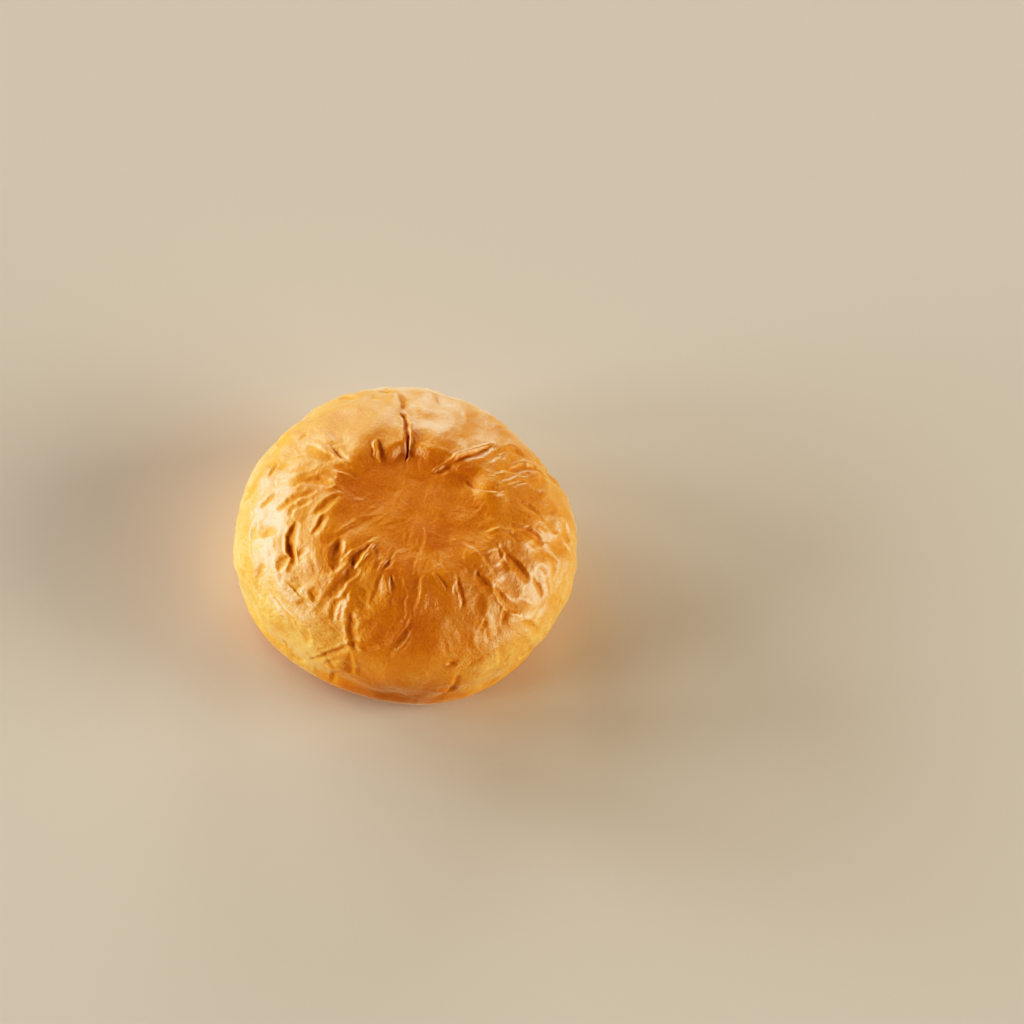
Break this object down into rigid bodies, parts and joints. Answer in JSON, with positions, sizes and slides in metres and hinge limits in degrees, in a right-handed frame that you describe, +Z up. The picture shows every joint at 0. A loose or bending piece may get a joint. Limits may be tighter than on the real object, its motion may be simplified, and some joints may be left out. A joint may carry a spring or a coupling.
{
  "type": "brioche burger bun",
  "caption": "Round soft bread roll, uncut, with a glossy wrinkled crown, a shallow round press on top and a flat underside.",
  "frame": {"origin": "middle of the flat underside, at the bottom of the bounding box", "axes": "+Z up through the crown, front towards -Y"},
  "size_m": [0.1048, 0.1058, 0.0493],
  "materials": {
    "crust": "egg-washed baked crust, pale gold at the sides to brown on top, soft gloss"
  },
  "bodies": {
    "root": {"bun": "crust"}
  },
  "joints": []
}
